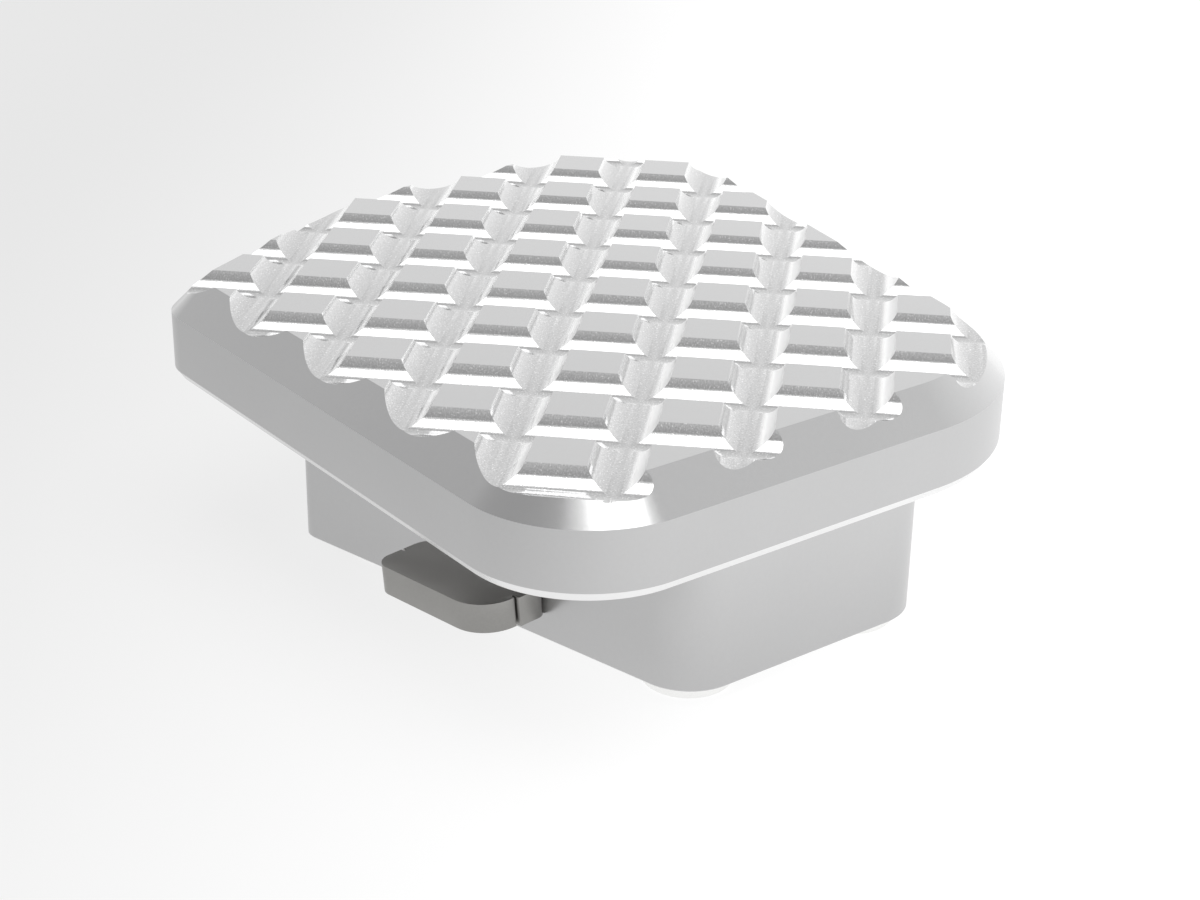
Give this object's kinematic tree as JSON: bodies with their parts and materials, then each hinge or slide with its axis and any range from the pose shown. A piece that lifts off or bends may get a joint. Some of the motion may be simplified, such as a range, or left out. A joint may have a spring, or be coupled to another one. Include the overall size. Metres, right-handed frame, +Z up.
{
  "type": "brake pedal extension",
  "caption": "Bolt-on motorbike brake pedal extension: machined aluminium foot plate with crossed grip grooves, screwed to a clamp block with a pedal pocket and a steel clamp tongue.",
  "frame": {"origin": "middle of the foot plate's bounding box in X and Y, at the lowest point, the faces of the cap screw heads", "axes": "+Z up, out of the grip face; +X away from the motorbike, from the plate's cut-off inner side to its outer edge; +Y to the front of the motorbike, from the straight rear edge to the sloped front edge"},
  "size_m": [0.065, 0.0578, 0.0212],
  "materials": {
    "machined_aluminium": "machined, bead blasted and clear anodised",
    "dark_steel": "satin, darkened",
    "screw_steel": "bright stainless"
  },
  "bodies": {
    "root": {"foot_plate": "machined_aluminium", "clamp_block": "machined_aluminium", "clamp_tongue": "dark_steel", "cap_screw_outer_rear": "screw_steel", "cap_screw_outer_front": "screw_steel", "cap_screw_inner_front": "screw_steel", "cap_screw_inner_rear": "screw_steel", "grub_screw": "dark_steel"}
  },
  "joints": []
}
